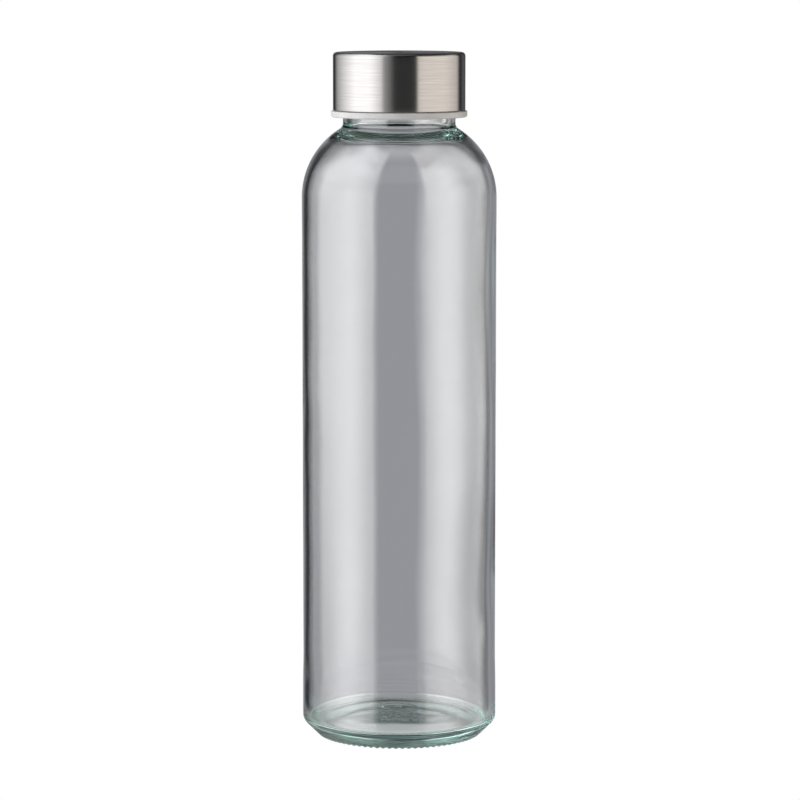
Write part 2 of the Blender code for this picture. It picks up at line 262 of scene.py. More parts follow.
# ----------------------------------------------------------- glass profile
def floor_rings():
    corner_r = WALL_INNER_R - FLOOR_FILLET
    share = np.linspace(0.0, 1.0, 18)[:-1]
    return to_rings(
        np.stack([corner_r * share, FLOOR_Z + FLOOR_CROWN * (1 - share**2)], 1),
        arc(corner_r, FLOOR_Z + FLOOR_FILLET, FLOOR_FILLET, -90, 0, 8),
        segments=COARSE, zone="floor",
    )


def wall_rings():
    """The inside, from the floor's corner to the foot of the straight bore."""
    inner_r = WALL_INNER_R - INNER_ARC
    part, turn = math.radians(INNER_PART), math.radians(INNER_TURN)
    mid_r = inner_r + (INNER_ARC - INNER_MID_ARC) * math.cos(part)
    mid_z = INNER_START + (INNER_ARC - INNER_MID_ARC) * math.sin(part)
    collar_r = mid_r + (INNER_MID_ARC - COLLAR_ARC) * math.cos(turn)
    collar_z = mid_z + (INNER_MID_ARC - COLLAR_ARC) * math.sin(turn)
    # the lip's radius depends on its height and the other way round, so settle both
    slope = math.radians(FLARE_SLOPE)
    lip_z = collar_z + COLLAR_ARC + BORE_FILLET
    for _ in range(20):
        flare_z = lip_z - BORE_FILLET * math.sin(slope)
        flare = math.tan(slope) * (FLARE_TOP - flare_z) / FLARE_POWER
        lip_r = BORE_R + flare + BORE_FILLET * math.cos(slope)
        lip_z = collar_z + math.sqrt(
            (COLLAR_ARC + BORE_FILLET) ** 2 - (lip_r - collar_r) ** 2
        )
    angle = math.degrees(math.atan2(lip_z - collar_z, lip_r - collar_r))
    share = np.linspace(1.0, 0.0, 11)[1:]
    flare_points = np.stack(
        [BORE_R + flare * share**FLARE_POWER, FLARE_TOP - (FLARE_TOP - flare_z) * share], 1
    )
    return to_rings(
        line((WALL_INNER_R, FLOOR_Z + FLOOR_FILLET), (WALL_INNER_R, INNER_START), 5.0),
        arc(inner_r, INNER_START, INNER_ARC, 0, INNER_PART, 22, joined=True),
        segments=COARSE, zone="wall",
    ) + to_rings(
        arc(mid_r, mid_z, INNER_MID_ARC, INNER_PART, INNER_TURN, 8, joined=True),
        arc(collar_r, collar_z, COLLAR_ARC, INNER_TURN, angle, 14, joined=True),
        arc(lip_r, lip_z, BORE_FILLET, 180 + angle, 180 + FLARE_SLOPE, 10, joined=True),
        flare_points,
        segments=FINE, zone="wall",
    )


def finish_rings():
    """The straight bore, the rim and the threaded outside down to the bead."""
    inner, outer = RIM_INNER_ROUND, RIM_OUTER_ROUND
    bead_top = (THREAD_ROOT_R, BEAD_Z + BEAD_RISE)
    return to_rings(
        line((BORE_R, FLARE_TOP), (BORE_R, RIM_Z - inner), 2.0),
        arc(BORE_R + inner, RIM_Z - inner, inner, 180, 90, 6, joined=True),
        arc(THREAD_ROOT_R - outer, RIM_Z - outer, outer, 90, 0, 6),
        segments=COARSE,
    ) + to_rings(
        line((THREAD_ROOT_R, RIM_Z - outer), bead_top, 0.32), segments=COARSE, zone="thread"
    ) + to_rings(line(bead_top, (NECK_R, BEAD_Z), 0.3), segments=COARSE)


def outside_rings():
    """The neck, shoulder, body and heel, down to the foot."""
    centre_r = SHOULDER_R - SHOULDER_ARC
    reach = NECK_R + NECK_FILLET - centre_r
    rise = math.sqrt((SHOULDER_ARC + NECK_FILLET) ** 2 - reach**2)
    angle = math.degrees(math.atan2(rise, reach))
    join_z = SHOULDER_START + rise
    fine = SHOULDER_FINE_ANGLE
    z = np.concatenate(
        [
            np.linspace(SHOULDER_START, PANEL_TOP, 9)[1:],
            np.linspace(PANEL_TOP, PANEL_BOTTOM, 18)[1:],
            np.linspace(PANEL_BOTTOM, HEEL_BAND_TOP, 7)[1:],
        ]
    )
    radius = (
        PANEL_R
        + (SHOULDER_R - PANEL_R) * smoothstep(z, PANEL_TOP, SHOULDER_BAND_BOTTOM)
        + (HEEL_R - PANEL_R) * (1 - smoothstep(z, HEEL_BAND_TOP, PANEL_BOTTOM))
    )
    heel_z = HEEL_CORNER_Z + HEEL_FILLET * math.tan(math.radians(22.5))
    heel = arc(HEEL_R - HEEL_FILLET, heel_z, HEEL_FILLET, 0, -45, 9, joined=True)
    return to_rings(
        line((NECK_R, BEAD_Z), (NECK_R, join_z), 0.8),
        arc(NECK_R + NECK_FILLET, join_z, NECK_FILLET, 180, 180 + angle, 10, joined=True),
        arc(centre_r, SHOULDER_START, SHOULDER_ARC, angle, fine, 12, joined=True),
        segments=FINE,
    ) + to_rings(
        arc(centre_r, SHOULDER_START, SHOULDER_ARC, fine, 0, 25, joined=True),
        np.stack([radius, z], 1),
        line((HEEL_R, HEEL_BAND_TOP), (HEEL_R, heel_z), 2.2),
        segments=COARSE,
    ) + to_rings(heel, segments=FINE) + to_rings(
        line(heel[-1], (FOOT_OUTER_R + FOOT_EDGE, FOOT_EDGE), 0.50),
        arc(FOOT_ROUND_R, FOOT_ROUND, FOOT_ROUND, -10, -90, 5),
        line((FOOT_ROUND_R, 0.0), (FOOT_INNER_R, 0.0), 0.35),
        segments=FINE, zone="foot",
    )


def push_rings():
    """The push-up, from the foot to its middle; rings lie closest under the marks."""
    outer = np.concatenate(
        [
            np.arange(PUSH_R - 0.6, 18.6, -0.8),
            np.arange(18.5, 8.8, -0.36),
            np.arange(8.5, 4.6, -0.5),
        ]
    )
    middle = np.array([3.8, 2.9, 2.0, 1.2, 0.5, 0.0])
    rings = []
    for radii, segments in ((outer, FINE), (middle, COARSE)):
        points = np.stack([radii, PUSH_Z * (1 - (radii / PUSH_R) ** 2)], 1)
        rings += to_rings(points, segments=segments, zone="push")
    return rings


# ----------------------------------------------------------- glass surface
def waviness(theta, z, seed, cell, most_lobes=6):
    """Slow, smooth unevenness of blown glass, mostly between -1 and 1."""
    total = 0.0
    rng = np.random.default_rng(seed)
    for _ in range(7):
        lobes = rng.integers(1, most_lobes)
        rate = rng.uniform(0.3, 1.6) / cell
        round_phase, up_phase = rng.uniform(0, TAU, 2)
        total = total + np.sin(
            lobes * theta + round_phase + 0.6 * np.sin(TAU * z * rate * 0.5 + up_phase)
        ) * np.cos(TAU * z * rate + up_phase)
    return total / 4.0


def stroke(distance, half_width, soft):
    """Cross-section of a raised moulded line."""
    return 1.0 - smoothstep(distance, half_width - soft, half_width + soft)


def base_marks(x, y):
    """Plain mould marks under the base: a ring with a dot in it, and even rows."""
    from_x, from_y = x - MARK_X, y - MARK_Y
    ring = np.abs(np.hypot(from_x, from_y) - MARK_RING_R)
    dot = np.hypot(from_x / MARK_DOT_STRETCH_X, from_y / MARK_DOT_STRETCH_Y)
    height = stroke(ring, half_width=0.75, soft=0.30)
    height = np.maximum(height, stroke(dot, half_width=MARK_DOT_R, soft=0.25))
    for bar_x, bar_y, half_x, half_y in MARK_BARS:
        distance = np.hypot(
            np.maximum(np.abs(x - bar_x) - half_x, 0), np.maximum(np.abs(y - bar_y) - half_y, 0)
        )
        height = np.maximum(height, stroke(distance, half_width=0.42, soft=0.30))
    return height


def stipple(x, y):
    """Fine pebbling left by the mould round the middle of the base."""
    rng = np.random.default_rng(77)
    total = np.zeros(np.shape(x))
    for _ in range(14):
        angle, size = rng.uniform(0, TAU), rng.uniform(1.6, 3.6)
        total = total + np.sin(
            TAU * (x * math.cos(angle) + y * math.sin(angle)) / size + rng.uniform(0, TAU)
        )
    return total / 4.0


def inner_offset(theta, z):
    """How far the blown inner wall stands off its mean radius: glass runs thinner
    on the -X side than on the +X side, and wavers a little everywhere."""
    even = 1.0 - smoothstep(z, start=183.0, end=196.0)
    lean = np.cos(theta - 0.05 * np.sin(z / 17.0))
    thick = np.interp(z, THICK_SIDE_Z, THICK_SIDE)
    drift = np.where(lean < 0.0, THIN_SIDE, thick) * -lean * even
    wave = 0.075 * waviness(theta, z, seed=5, cell=46.0) * (
        smoothstep(z, FLOOR_Z + 1.0, FLOOR_Z + 14.0)
        * (1.0 - smoothstep(z, start=180.0, end=190.0))
    )
    # an upright run centred on +X is the least even
    side = np.exp(-((((theta + math.pi) % TAU) - math.pi) / 0.55) ** 2)
    wave = wave + 0.10 * side * even * np.sin(z / 13.0 + 0.9 * np.sin(z / 29.0))
    collar = smoothstep(z, start=186.0, end=191.0) * (
        1.0 - smoothstep(z, start=196.0, end=200.0)
    )
    wave = wave + 0.06 * collar * waviness(theta, z, seed=21, cell=14.0, most_lobes=8)
    return drift + wave


def shape_thread(radius, z, theta):
    ridge = helix_ridge(
        theta, z, THREAD_Z0, first=0.0, last=THREAD_TURNS,
        half_root=1.1, half_crest=0.5, taper=0.10,
    )
    return radius + THREAD_HEIGHT * ridge, z


def shape_wall(radius, z, theta):
    return radius + inner_offset(theta, z), z


def shape_floor(radius, z, theta):
    """A slightly wavy floor that runs down towards the front."""
    fade = smoothstep(radius, start=2.0, end=14.0)
    heights = z + 0.10 * waviness(theta, radius, seed=9, cell=20.0) * fade
    radii = radius + inner_offset(theta, max(z, FLOOR_Z)) * (radius / WALL_INNER_R) ** 4
    front = np.clip(-radii * np.sin(theta) / WALL_INNER_R, 0.0, 1.0)
    level = np.clip((FLOOR_Z + FLOOR_FILLET - z) / FLOOR_FILLET, 0.0, 1.0)
    return radii, heights - FLOOR_DIP * front * front * level


def shape_foot(radius, z, theta):
    """Knurls cut up into the foot."""
    notch = 0.5 + 0.5 * np.cos(KNURLS * theta)
    depth = KNURL_DEPTH * smoothstep(radius, FOOT_INNER_R - 0.1, FOOT_INNER_R + 0.9)
    depth = depth * (1.0 - smoothstep(z, start=0.15, end=1.3))
    return radius, z + depth * notch


def shape_push(radius, z, theta):
    x, y = radius * np.cos(theta), radius * np.sin(theta)
    heights = z - MARK_HEIGHT * base_marks(x, y)
    heights = heights + STIPPLE * stipple(x, y) * (
        1.0 - smoothstep(np.hypot(x, y - STIPPLE_Y), start=6.0, end=13.0)
    )
    heights = heights + 0.07 * waviness(theta, radius, seed=31, cell=9.0) * smoothstep(
        radius, start=3.0, end=12.0
    ) * (1.0 - smoothstep(radius, start=20.0, end=23.0))
    return radius, heights


def add_skin(obj):
    """Store where the surface is rough. The outside of the foot and base keeps
    the mould's skin, and its marks are the roughest; the rest is fire-polished."""
    count = len(obj.data.vertices)
    places = np.empty(count * 3)
    obj.data.vertices.foreach_get("co", places)
    x, y, z = places.reshape(-1, 3).T / MM
    skin = 0.16 * (1.0 - smoothstep(z, start=3.0, end=5.4))
    under = (np.hypot(x, y) < PUSH_R) & (z < PUSH_Z + 1.0)
    marks = np.where(under, base_marks(x, y), 0.0)
    skin = np.where(under, 0.13 + 0.20 * marks, skin)
    for name, values in (("mould_skin", skin), ("mould_mark", marks)):
        layer = obj.data.attributes.new(name, "FLOAT", "POINT")
        layer.data.foreach_set("value", values.astype(np.float32))


def build_glass():
    """From the floor's middle up the inside, over the rim and down the outside."""
    rings = floor_rings() + wall_rings() + finish_rings() + outside_rings() + push_rings()
    shapes = {
        "floor": shape_floor,
        "wall": shape_wall,
        "thread": shape_thread,
        "foot": shape_foot,
        "push": shape_push,
    }
    obj = turned_mesh("glass_bottle_body", rings, sharp_angle=50, shapes=shapes)
    add_skin(obj)
    return obj


# --------------------------------------------------------------------- lid
def build_steel():
    """A thin cup, open below."""
    inner = STEEL_R - STEEL_WALL
    inner_corner = STEEL_CORNER - STEEL_WALL
    outer_flat, inner_flat = STEEL_R - STEEL_CORNER, inner - inner_corner
    corner_z, ceiling = STEEL_TOP - STEEL_CORNER, STEEL_TOP - STEEL_WALL
    edge, edge_z = STEEL_EDGE, STEEL_BOTTOM + STEEL_EDGE
    rings = to_rings(
        line((0, STEEL_TOP), (outer_flat, STEEL_TOP), 1.2, joined=False),
        arc(outer_flat, corner_z, STEEL_CORNER, 90, 0, 12, joined=True),
        line((STEEL_R, corner_z), (STEEL_R, edge_z), 1.5),
        arc(STEEL_R - edge, edge_z, edge, 0, -90, 5, joined=True),
        line((STEEL_R - edge, STEEL_BOTTOM), (inner, STEEL_BOTTOM), 0.3),
        line((inner, STEEL_BOTTOM), (inner, corner_z), 4.0),
        arc(inner_flat, corner_z, inner_corner, 0, 90, 6, joined=True),
        line((inner_flat, ceiling), (0, ceiling), 4.0),
        segments=256,
    )
    return turned_mesh("lid_steel_cup", rings, sharp_angle=40)


def shape_liner_thread(radius, z, theta):
    ridge = helix_ridge(
        theta, z, LINER_THREAD_Z0, first=0.25, last=1.45,
        half_root=0.8, half_crest=0.4, taper=0.08,
    )
    return radius - LINER_THREAD_HEIGHT * ridge, z


def build_liner():
    """The plastic inside of the lid, with its flange, thread and hanging ring."""
    top, bottom, under, outer = LINER_TOP, LINER_BOTTOM, LINER_UNDER, LINER_OUT_R
    corner, inner_corner = LINER_CORNER, LINER_INNER_CORNER
    brow, heel, mouth = FLANGE_TOP_ROUND, FLANGE_FOOT_ROUND, MOUTH_ROUND
    skirt_r = (SKIRT_OUT_R + SKIRT_IN_R) / 2
    skirt_round = (SKIRT_OUT_R - SKIRT_IN_R) / 2
    chamfer, round_z = SKIRT_CHAMFER, SKIRT_END_Z + 0.2
    rings = to_rings(
        line((0, top), (outer - corner, top), 3.0, joined=False),
        arc(outer - corner, top - corner, corner, 90, 0, 6, joined=True),
        line((outer, top - corner), (outer, FLANGE_TOP), 2.0),
        line((outer, FLANGE_TOP), (FLANGE_R - brow, FLANGE_TOP), 0.3),
        arc(FLANGE_R - brow, FLANGE_TOP - brow, brow, 90, 0, 5, joined=True),
        line((FLANGE_R, FLANGE_TOP - brow), (FLANGE_R, bottom + heel), 0.4),
        arc(FLANGE_R - heel, bottom + heel, heel, 0, -90, 7, joined=True),
        line((FLANGE_R - heel, bottom), (LINER_IN_R + mouth, bottom), 0.6),
        arc(LINER_IN_R + mouth, bottom + mouth, mouth, -90, -180, 4, joined=True),
        segments=240,
    ) + to_rings(
        line((LINER_IN_R, bottom + mouth), (LINER_IN_R, under - inner_corner), 0.16),
        segments=240, zone="thread",
    ) + to_rings(
        arc(LINER_IN_R - inner_corner, under - inner_corner, inner_corner, 0, 90, 3, joined=True),
        line((LINER_IN_R - inner_corner, under), (SKIRT_OUT_R + chamfer, under), 1.0),
        line((SKIRT_OUT_R, under - chamfer), (SKIRT_OUT_R, SKIRT_END_Z), 0.6, joined=False),
        arc(skirt_r, round_z, skirt_round, 0, -180, 8, joined=True),
        line((SKIRT_IN_R, round_z), (SKIRT_IN_R, under - chamfer), 0.6),
        line((SKIRT_IN_R - chamfer, under), (0, under), 1.5, joined=False),
        segments=240,
    )
    return turned_mesh(
        "lid_liner_moulding", rings, sharp_angle=40, shapes={"thread": shape_liner_thread}
    )


def build_gasket():
    """A flat sealing ring with rounded edges."""
    soft = GASKET_ROUND
    outer_r, inner_r = GASKET_HIGH[0] - soft, GASKET_IN_R + soft
    bottom, top = GASKET_LOW[2], GASKET_HIGH[2]
    rings = to_rings(
        arc(inner_r, top - soft, soft, 180, 90, 5),
        line((inner_r, top), (outer_r, top), 0.8)[:-1],
        arc(outer_r, top - soft, soft, 90, 0, 5),
        arc(outer_r, bottom + soft, soft, 0, -90, 5),
        line((outer_r, bottom), (inner_r, bottom), 0.8)[:-1],
        arc(inner_r, bottom + soft, soft, -90, -180, 5),
        segments=160,
    )
    return turned_mesh("lid_seal_ring", rings, sharp_angle=40, closed=True)


# ------------------------------------------------------------ shader nodes
class Nodes:
    """Builds the node tree of a material or world, starting from an empty one.
    Values may be sockets, which are linked, or constants."""

    def __init__(self, owner):
        owner.use_nodes = True
        self.tree = owner.node_tree
        self.tree.nodes.clear()

    def new(self, kind, inputs=None, **settings):
        node = self.tree.nodes.new(kind)
        for key, value in settings.items():
            setattr(node, key, value)
        for key, value in (inputs or {}).items():
            if isinstance(value, bpy.types.NodeSocket):
                self.tree.links.new(value, node.inputs[key])
            else:
                node.inputs[key].default_value = value
        return node

    def math(self, operation, *values):
        return self.new("ShaderNodeMath", dict(enumerate(values)), operation=operation).outputs[0]

    def vector(self, operation, *values):
        return self.new("ShaderNodeVectorMath", dict(enumerate(values)), operation=operation)

    def scaled(self, value, factor, plus):
        return self.math("MULTIPLY_ADD", value, factor, plus)

    def product(self, first, *others):
        for other in others:
            first = self.math("MULTIPLY", first, other)
        return first

    def weighted(self, *terms):
        """Sum of (value, weight) terms."""
        parts = [self.math("MULTIPLY", value, weight) for value, weight in terms]
        total = parts.pop()
        while parts:
            total = self.math("ADD", parts.pop(), total)
        return total

    def rise(self, value, start, end, low=0.0, high=1.0, kind="SMOOTHSTEP"):
        """From low at start to high at end; start may be the larger of the two."""
        inputs = {
            "Value": value, "From Min": start, "From Max": end, "To Min": low, "To Max": high
        }
        node = self.new("ShaderNodeMapRange", inputs, interpolation_type=kind)
        return node.outputs["Result"]

    def fade(self, value, start, end, high=1.0, low=0.0, kind="SMOOTHSTEP"):
        """From high at start to low at end."""
        return self.rise(value, start, end, high, low, kind)

    def band(self, value, rises, fades):
        """1 between two edges, each a (start, end) pair."""
        return self.product(self.rise(value, *rises), self.fade(value, *fades))

    def lerp(self, factor, low, high):
        """The number low where factor is 0, high where it is 1."""
        return self.scaled(factor, factor=high - low, plus=low) if False else self.math(
            "MULTIPLY_ADD", factor, high - low, low
        )

    def blend(self, factor, low, high):
        """As lerp, between two sockets."""
        rest = self.math("SUBTRACT", 1.0, factor)
        return self.weighted((high, factor), (low, rest))

    def mix(self, factor, low, high):
        """As lerp, between two colours."""
        low, high = ((*c, 1.0) if isinstance(c, tuple) else c for c in (low, high))
        inputs = {0: factor, 6: low, 7: high}
        return self.new("ShaderNodeMix", inputs, data_type="RGBA").outputs[2]

    def coords(self, kind="Object"):
        return self.new("ShaderNodeTexCoord").outputs[kind]

    def split(self, vector):
        return self.new("ShaderNodeSeparateXYZ", {0: vector}).outputs

    def attribute(self, name):
        return self.new("ShaderNodeAttribute", attribute_name=name).outputs["Fac"]

    def noise(self, dimensions="3D", **inputs):
        node = self.new("ShaderNodeTexNoise", inputs, noise_dimensions=dimensions)
        return node.outputs["Fac"]

    def bump(self, height, strength, distance):
        inputs = {"Height": height, "Strength": strength, "Distance": distance}
        return self.new("ShaderNodeBump", inputs).outputs[0]

    def camera_forward(self):
        """The direction the camera looks, in the world."""
        return self.new(
            "ShaderNodeVectorTransform", {0: (0.0, 0.0, 1.0)},
            vector_type="VECTOR", convert_from="CAMERA", convert_to="WORLD",
        ).outputs[0]

    def shader(self, kind, inputs=None):
        return self.new(kind, inputs).outputs[0]

    def principled(self, inputs):
        return self.shader("ShaderNodeBsdfPrincipled", inputs)

    def output(self, kind="Material", **inputs):
        self.new("ShaderNodeOutput" + kind, inputs)


def new_material(name):
    mat = bpy.data.materials.new(name)
    return mat, Nodes(mat)


# --------------------------------------------------------------- materials
def glass_material():
    """Faintly green glass, polished but for the mould's skin and marks."""
    mat, nodes = new_material("clear_green_tinted_glass")
    mark = nodes.attribute("mould_mark")
    uneven = nodes.noise(Vector=nodes.coords(), Scale=700.0, Detail=2.0)
    patches = nodes.rise(uneven, start=0.3, end=0.7, low=0.75, high=1.2)
    surface = nodes.principled({
        "Base Color": nodes.mix(mark, low=(1.0, 1.0, 1.0), high=(0.80, 0.88, 0.86)),
        "Roughness": nodes.product(nodes.attribute("mould_skin"), patches),
        "Transmission Weight": nodes.scaled(mark, factor=-0.55, plus=1.0),
        "IOR": 1.52,
    })
    volume = nodes.shader(
        "ShaderNodeVolumeAbsorption", {"Color": (0.30, 0.80, 0.70, 1.0), "Density": 15.0}
    )
    nodes.output(Surface=surface, Volume=volume)
    return mat


def steel_material():
    """Steel brushed round the axis, on the side and on the top alike."""
    mat, nodes = new_material("brushed_stainless_steel")
    x, y, z = nodes.split(nodes.coords())
    squares = nodes.math("ADD", nodes.product(x, x), nodes.product(y, y))
    across = nodes.math("ADD", z, nodes.math("SQRT", squares))

    def grain(fine, along, seed, detail):
        """Short scratches, fine across the brushing and long along it."""
        place = nodes.new("ShaderNodeCombineXYZ", {
            0: nodes.product(x, along),
            1: nodes.scaled(y, factor=along, plus=seed),
            2: nodes.product(across, fine),
        }).outputs[0]
        return nodes.noise(Vector=place, Scale=1.0, Detail=detail, Roughness=0.6)

    hair = grain(fine=7600.0, along=90.0, seed=3.1, detail=3.0)
    streak = grain(fine=5000.0, along=40.0, seed=11.7, detail=2.0)
    full_rings = nodes.noise(
        dimensions="1D", W=nodes.scaled(across, factor=6000.0, plus=5.3),
        Scale=1.0, Detail=3.0, Roughness=0.65,
    )
    brushing = nodes.weighted((full_rings, 0.24), (hair, 0.46), (streak, 0.30))
    tone = nodes.rise(brushing, start=0.34, end=0.66)
    tangent = nodes.new("ShaderNodeTangent", direction_type="RADIAL", axis="Z")
    surface = nodes.principled({
        "Base Color": nodes.mix(tone, low=(0.314, 0.308, 0.304), high=(0.370, 0.362, 0.355)),
        "Metallic": 1.0,
        "Roughness": nodes.fade(brushing, start=0.28, end=0.72, high=0.28, low=0.20),
        "Anisotropic": 0.9,
        "Anisotropic Rotation": 0.25,
        "Tangent": tangent.outputs[0],
        "Normal": nodes.bump(brushing, strength=0.06, distance=0.00002),
    })
    nodes.output(Surface=surface)
    return mat


def liner_material():
    """Greyish, slightly waxy plastic with a fine grain."""
    mat, nodes = new_material("natural_moulded_plastic")
    coords = nodes.coords()
    cloud = nodes.rise(
        nodes.noise(Vector=coords, Scale=260.0, Detail=3.0), start=0.3, end=0.7
    )
    grain = nodes.noise(Vector=coords, Scale=2600.0, Detail=2.0)
    surface = nodes.principled({
        "Base Color": nodes.mix(cloud, low=(0.43, 0.43, 0.425), high=(0.48, 0.48, 0.475)),
        "Roughness": 0.38,
        "IOR": 1.49,
        "Subsurface Weight": 0.35,
        "Subsurface Radius": (1.0, 1.0, 0.9),
        "Subsurface Scale": 0.0015,
        "Normal": nodes.bump(grain, strength=0.15, distance=0.00003),
    })
    nodes.output(Surface=surface)
    return mat


def gasket_material():
    mat, nodes = new_material("translucent_silicone")
    cloud = nodes.noise(Vector=nodes.coords(), Scale=900.0)
    tone = nodes.rise(cloud, start=0.3, end=0.7)
    surface = nodes.principled({
        "Base Color": nodes.mix(tone, low=(0.80, 0.80, 0.78), high=(0.86, 0.86, 0.84)),
        "Roughness": nodes.rise(cloud, start=0.2, end=0.8, low=0.42, high=0.55),
        "IOR": 1.41,
        "Subsurface Weight": 0.5,
        "Subsurface Radius": (1.0, 1.0, 0.95),
        "Subsurface Scale": 0.002,
    })
    nodes.output(Surface=surface)
    return mat


# ------------------------------------------------------------------ studio
class Studio(Nodes):
    """A studio that keeps its place relative to the camera: a mid-grey sweep
    behind the object, a tall soft light on each side, black flags between the
    lights and the sweep, and a dark room behind the camera.

    Angles are degrees round from the camera's side: azimuth grows to the right
    and leftward to the left. Glass reflects sharply and shows the edges of the
    lights; steel and plastic gather light from a wider part of the room, so
    each light has one form for the glass and one for the lid."""

    def __init__(self, world):
        super().__init__(world)
        flat = self.vector("MULTIPLY", self.camera_forward(), (1.0, 1.0, 0.0))
        away = self.vector("NORMALIZE", flat.outputs[0]).outputs[0]
        side = self.vector("CROSS_PRODUCT", away, (0.0, 0.0, 1.0)).outputs[0]
        ray = self.coords("Generated")
        self.right = self.vector("DOT_PRODUCT", ray, side).outputs["Value"]
        self.back = self.vector("DOT_PRODUCT", ray, away).outputs["Value"]
        self.up = self.split(ray)[2]
        toward = self.math("MULTIPLY", self.back, -1.0)
        radians = self.math("ARCTAN2", self.right, toward)
        self.azimuth = self.math("MULTIPLY", radians, 180.0 / math.pi)
        self.leftward = self.math("MULTIPLY", self.azimuth, -1.0)
        self.aside = self.math("ABSOLUTE", self.azimuth)
        path = self.new("ShaderNodeLightPath").outputs
        self.sharp, self.camera_ray = path["Is Singular Ray"], path["Is Camera Ray"]
        # height bands in which the lights change
        self.soft = self.rise(self.up, start=-0.105, end=-0.035)
        self.low = self.rise(self.up, start=-0.10, end=-0.22)
        self.high = self.rise(self.up, start=-0.02, end=0.20)
        self.top = self.rise(self.up, start=0.45, end=0.80)

    def left_for_glass(self):
        """The left light; it falls away sooner lower down."""
        left = self.leftward
        edge = self.weighted(
            (self.rise(left, start=22.0, end=31.0), self.lerp(self.soft, low=0.45, high=0.62)),
            (self.rise(left, start=26.0, end=64.0), self.lerp(self.soft, low=0.55, high=0.38)),
        )
        reach = self.scaled(self.low, factor=14.0, plus=left)
        fall = self.weighted(
            (self.fade(reach, start=77.0, end=126.0), 0.88),
            (self.fade(reach, start=112.0, end=146.0), 0.12),
        )
        fall = self.blend(self.high, fall, self.fade(left, start=86.0, end=136.0))
        fall = self.blend(self.top, fall, self.fade(left, start=80.0, end=136.0))
        height = self.band(self.up, rises=(-0.85, -0.50), fades=(0.90, 0.975))
        return self.product(edge, fall, height)

    def left_for_lid(self):
        left = self.leftward
        edge = self.weighted(
            (self.rise(left, start=5.0, end=27.0), 0.19),
            (self.rise(left, start=25.0, end=33.0), 0.36),
            (self.rise(left, start=26.0, end=56.0), 0.45),
        )
        fall = self.product(
            self.fade(left, start=84.0, end=146.0, low=0.10, kind="LINEAR"),
            self.fade(left, start=140.0, end=154.0),
        )
        height = self.band(self.up, rises=(-0.85, -0.50), fades=(0.84, 0.93))
        return self.product(edge, fall, height)

    def right_for_glass(self):
        angle, soft = self.azimuth, self.soft
        edge = self.weighted(
            (self.rise(angle, start=30.0, end=34.5), self.lerp(soft, low=0.60, high=0.92)),
            (self.rise(angle, start=30.0, end=58.0), self.lerp(soft, low=0.40, high=0.08)),
        )
        end = self.blend(
            self.rise(self.up, start=-0.09, end=-0.15),
            self.fade(angle, start=122.0, end=137.0),
            self.fade(angle, start=116.0, end=130.0),
        )
        fall = self.product(self.fade(angle, start=64.0, end=100.0, low=0.50), end)
        fall = self.blend(self.top, fall, self.fade(angle, start=90.0, end=132.0, high=0.88))
        fall = self.product(fall, self.lerp(self.low, low=1.0, high=0.78))
        height = self.band(self.up, rises=(-0.85, -0.50), fades=(0.92, 0.98))
        return self.product(edge, fall, height)

    def right_for_lid(self):
        angle = self.azimuth
        edge = self.weighted(
            (self.rise(angle, start=30.0, end=34.5), 0.94),
            (self.rise(angle, start=30.0, end=50.0), 0.06),
        )
        fall = self.product(
            self.fade(angle, start=80.0, end=126.0, low=0.62),
            self.fade(angle, start=118.0, end=131.0),
        )
        height = self.band(self.up, rises=(-0.50, -0.20), fades=(0.35, 0.65))
        return self.product(edge, fall, height)

    def sweep_share(self):
        """How much of the lit sweep shows; a flag dims it towards its right end."""
        angle, up = self.azimuth, self.up
        dip = self.math(
            "ADD",
            self.fade(angle, start=149.0, end=156.0, low=0.52),
            self.rise(angle, start=160.0, end=168.0, high=0.48),
        )
        flag = self.band(angle, rises=(153.0, 160.0), fades=(171.0, 178.0))
        flag = self.product(flag, self.rise(up, start=0.07, end=0.16))
        dip = self.product(dip, self.scaled(flag, factor=-0.78, plus=1.0))
        far = self.math(
            "ADD",
            self.rise(self.leftward, start=154.0, end=170.0),
            self.rise(angle, start=132.0, end=148.0),
        )
        top = self.blend(
            self.sharp,
            self.fade(up, start=0.18, end=0.40),
            self.fade(up, start=0.04, end=0.36),
        )
        return self.product(far, dip, self.lerp(self.sharp, low=0.50, high=1.0), top)

    def room(self):
        """Everything but the lights: dark room, sweep, ceiling and table."""
        up, right, aside = self.up, self.right, self.aside
        sweep = self.mix(
            self.rise(right, start=-0.5, end=0.5),
            low=(0.375, 0.366, 0.395), high=(0.330, 0.322, 0.348),
        )
        dark = self.mix(
            self.rise(right, start=-0.3, end=0.3),
            low=(0.035, 0.035, 0.036), high=(0.060, 0.060, 0.062),
        )
        dark = self.mix(self.sharp, low=(0.019, 0.019, 0.020), high=dark)
        behind = self.product(
            self.rise(aside, start=120.0, end=150.0), self.rise(up, start=0.25, end=0.50)
        )
        dark = self.mix(behind, low=dark, high=(0.105, 0.105, 0.108))
        room = self.mix(self.sweep_share(), low=dark, high=sweep)
        # a pale ceiling towards the camera
        overhead = self.product(
            self.rise(up, start=0.89, end=0.95), self.fade(self.back, start=-0.24, end=-0.06)
        )
        room = self.mix(overhead, low=room, high=(0.72, 0.72, 0.74))
        # a table top, brightest at the sides and darkest away from the camera
        table = self.mix(
            self.rise(aside, start=20.0, end=60.0),
            low=(0.42, 0.43, 0.43), high=(1.05, 1.05, 1.05),
        )
        table = self.mix(
            self.rise(aside, start=120.0, end=160.0), low=table, high=(0.18, 0.18, 0.185)
        )
        return self.mix(self.rise(up, start=-0.24, end=-0.34), low=room, high=table)


